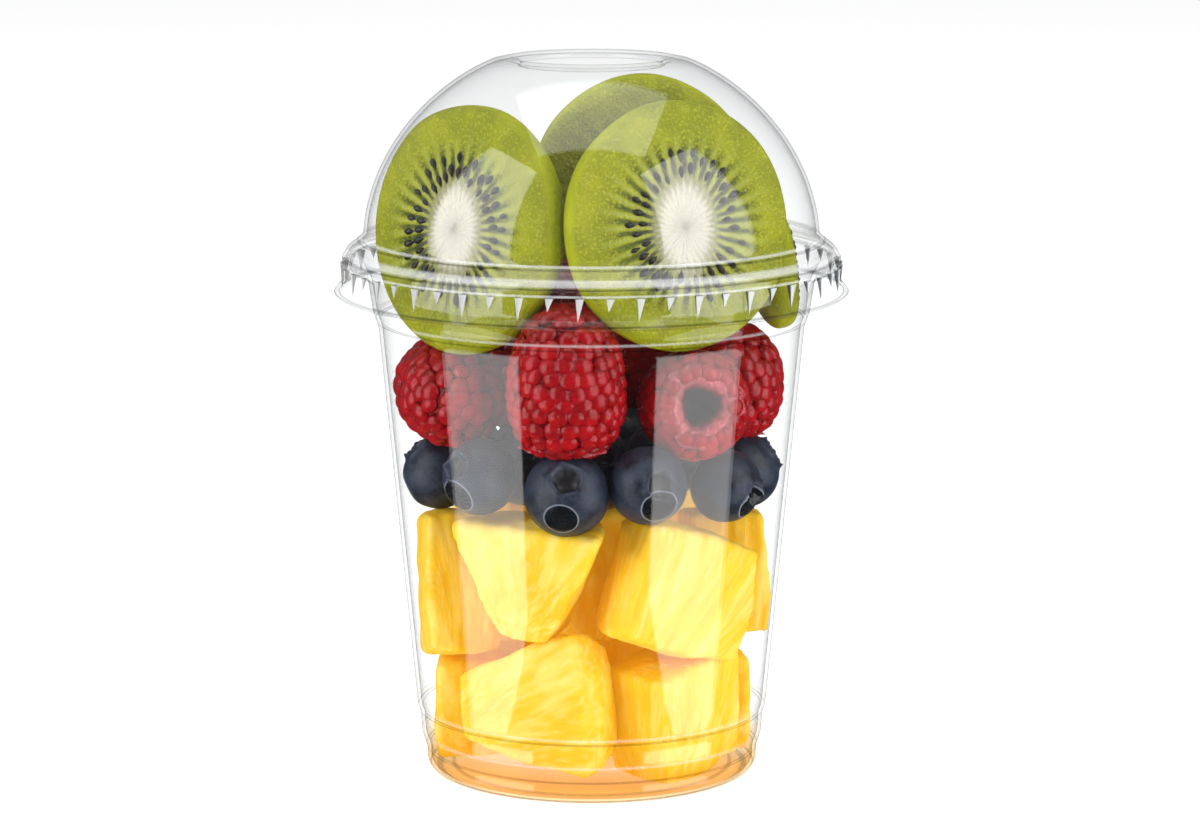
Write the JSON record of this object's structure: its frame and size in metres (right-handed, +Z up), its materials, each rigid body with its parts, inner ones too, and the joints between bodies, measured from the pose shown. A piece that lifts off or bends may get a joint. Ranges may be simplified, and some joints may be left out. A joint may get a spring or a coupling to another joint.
{
  "type": "fruit cup",
  "caption": "Clear plastic tumbler of layered pineapple, blueberries, raspberries and kiwi halves under a domed lid with a round hole.",
  "frame": {"origin": "middle of the foot ring, on the surface that the cup stands on", "axes": "+Z up along the cup's axis, -Y the front that shows both kiwi faces, +X to the right of the front"},
  "size_m": [0.1036, 0.1036, 0.1451],
  "materials": {
    "clear_plastic": "thin clear thermoformed plastic, glossy, colourless",
    "kiwi": "peeled kiwi flesh, moist, yellow-green outside, cream core, black seeds in a ring",
    "raspberry": "ripe raspberry drupelets, moist and glossy with a fine bloom",
    "blueberry": "dark blue skin with a patchy pale waxy bloom",
    "pineapple": "moist yellow pineapple flesh with pale radial fibres"
  },
  "bodies": {
    "root": {"cup": "clear_plastic", "lid": "clear_plastic", "kiwi_front_left": "kiwi", "kiwi_front_right": "kiwi", "kiwi_rear_top": "kiwi", "kiwi_rear_left": "kiwi", "kiwi_right": "kiwi", "raspberry_1": "raspberry", "raspberry_2": "raspberry", "raspberry_3": "raspberry", "raspberry_4": "raspberry", "raspberry_5": "raspberry", "raspberry_6": "raspberry", "raspberry_7": "raspberry", "blueberry_1": "blueberry", "blueberry_2": "blueberry", "blueberry_3": "blueberry", "blueberry_4": "blueberry", "blueberry_5": "blueberry", "blueberry_6": "blueberry", "blueberry_7": "blueberry", "blueberry_8": "blueberry", "blueberry_9": "blueberry", "blueberry_10": "blueberry", "blueberry_11": "blueberry", "blueberry_12": "blueberry", "blueberry_13": "blueberry", "blueberry_14": "blueberry", "blueberry_15": "blueberry", "pineapple_1": "pineapple", "pineapple_2": "pineapple", "pineapple_3": "pineapple", "pineapple_4": "pineapple", "pineapple_5": "pineapple", "pineapple_6": "pineapple", "pineapple_7": "pineapple", "pineapple_8": "pineapple", "pineapple_9": "pineapple", "pineapple_10": "pineapple", "pineapple_11": "pineapple", "pineapple_12": "pineapple", "pineapple_13": "pineapple", "pineapple_14": "pineapple"}
  },
  "joints": []
}
